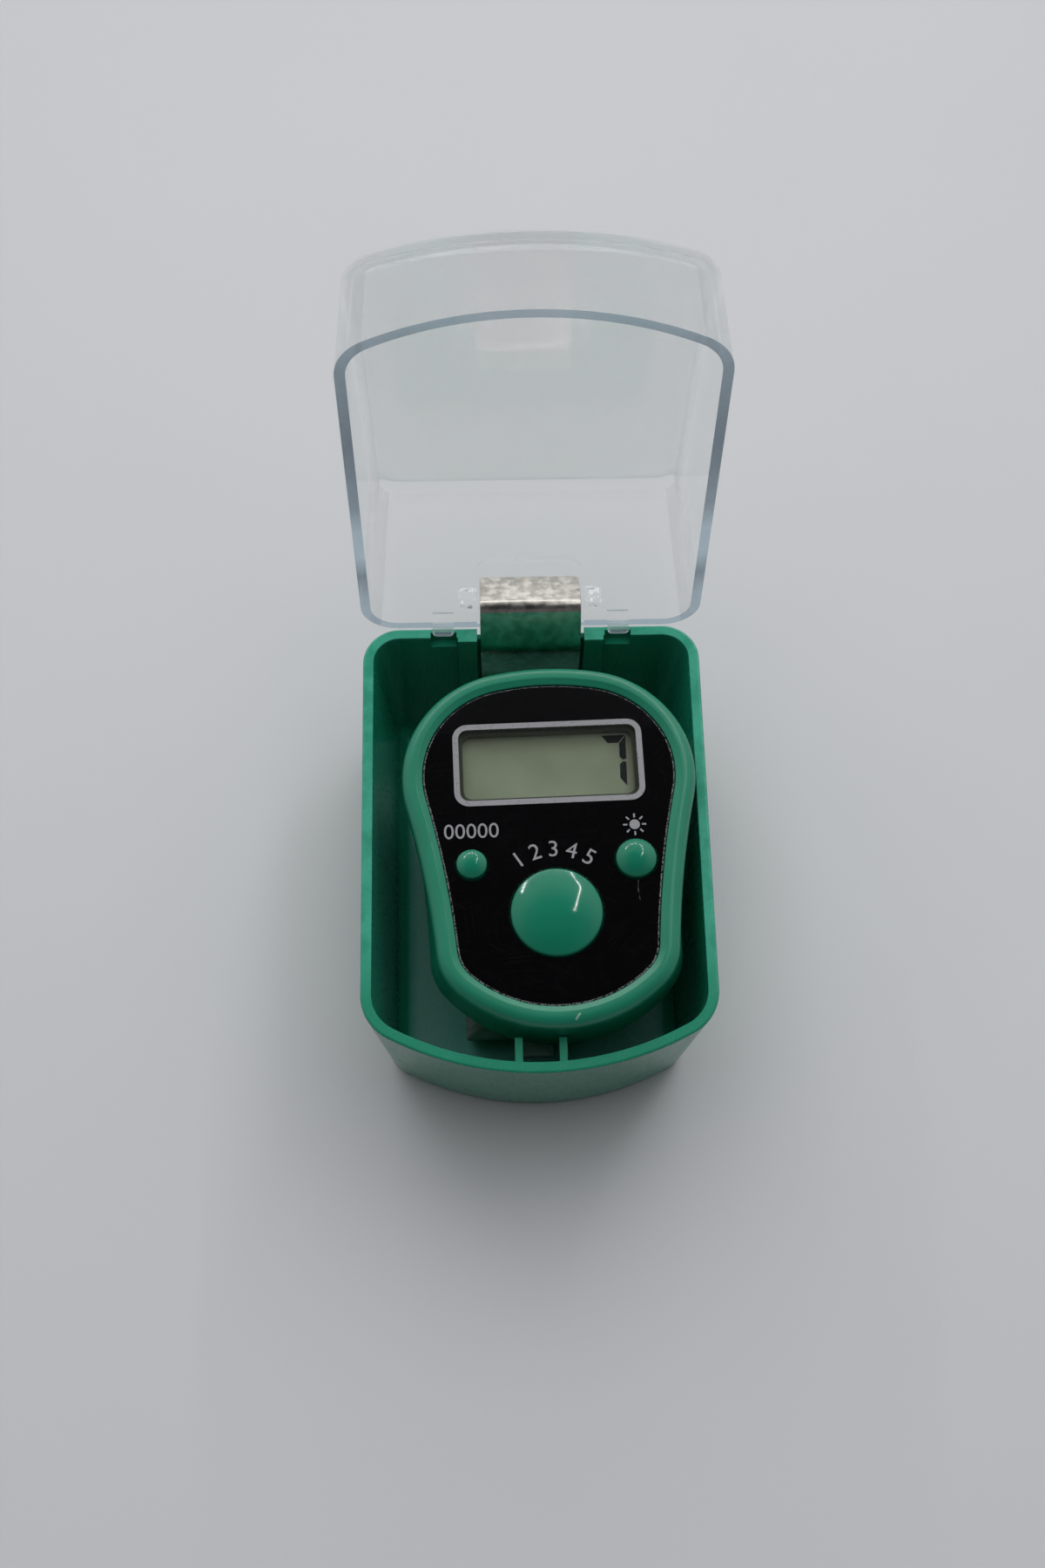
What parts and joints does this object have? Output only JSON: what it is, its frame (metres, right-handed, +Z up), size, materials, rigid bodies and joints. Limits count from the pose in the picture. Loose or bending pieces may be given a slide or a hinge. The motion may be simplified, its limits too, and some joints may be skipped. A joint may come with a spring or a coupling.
{
  "type": "digital tasbih counter in its case",
  "caption": "Finger-worn digital tasbih counter with a small display and push buttons, lying in a bowed tub case with a clear hinged lid held by a spring clip.",
  "frame": {"origin": "centre of the case's flat underside", "axes": "+Z up, +Y towards the hinge, +X to the right of someone reading the display"},
  "size_m": [0.035, 0.066, 0.0686],
  "materials": {
    "green_plastic": "glossy moulded",
    "clear_plastic": "clear moulded polystyrene",
    "spring_steel": "nickel plated strip",
    "black_plate": "gloss",
    "display_glass": "reflective grey-green",
    "rubber": "conductive silicone",
    "board": "solder mask",
    "resin": "cast resin",
    "led": "diffuse lens",
    "switch_body": "moulded",
    "switch_plunger": "moulded",
    "cell": "nickel can",
    "screw": "zinc",
    "strap": "milky translucent"
  },
  "bodies": {
    "case": {"case_base": "green_plastic", "hinge_spring": "spring_steel", "top_shell": "green_plastic", "faceplate": "black_plate", "display_window": "clear_plastic", "display_glass": "display_glass", "light_guide": "clear_plastic", "zebra_strip": "rubber", "circuit_board": "board", "chip_blob": "resin", "backlight_led": "led", "count_switch": "switch_body", "reset_switch": "switch_body", "light_switch": "switch_body", "button_cell": "cell", "cell_cap_contact": "spring_steel", "cell_can_contact": "spring_steel", "back_shell": "green_plastic", "shell_screws": "screw", "battery_cover": "green_plastic", "battery_cover_screw": "screw", "finger_strap": "strap"},
    "lid": {"case_lid": "clear_plastic"},
    "count_key": {"count_button": "green_plastic", "count_plunger": "switch_plunger"},
    "reset_key": {"reset_button": "green_plastic", "reset_plunger": "switch_plunger"},
    "light_key": {"light_button": "green_plastic", "light_plunger": "switch_plunger"}
  },
  "joints": [
    {"name": "lid_hinge", "type": "hinge", "parent": "case", "child": "lid", "pos_m": [0, 0.0238, 0.0214], "axis": [1, 0, 0], "range_deg": [0, 97], "deforming": ["hinge_spring"]},
    {"name": "count_press", "type": "slide", "parent": "case", "child": "count_key", "axis": [0, 0, -1], "range_m": [0, 0.0005], "stiffness_N_per_m": 1500, "springref_m": -0.0002},
    {"name": "reset_press", "type": "slide", "parent": "case", "child": "reset_key", "axis": [0, 0, -1], "range_m": [0, 0.0004], "stiffness_N_per_m": 1500, "springref_m": -0.0002},
    {"name": "light_press", "type": "slide", "parent": "case", "child": "light_key", "axis": [0, 0, -1], "range_m": [0, 0.0004], "stiffness_N_per_m": 1500, "springref_m": -0.0002}
  ]
}
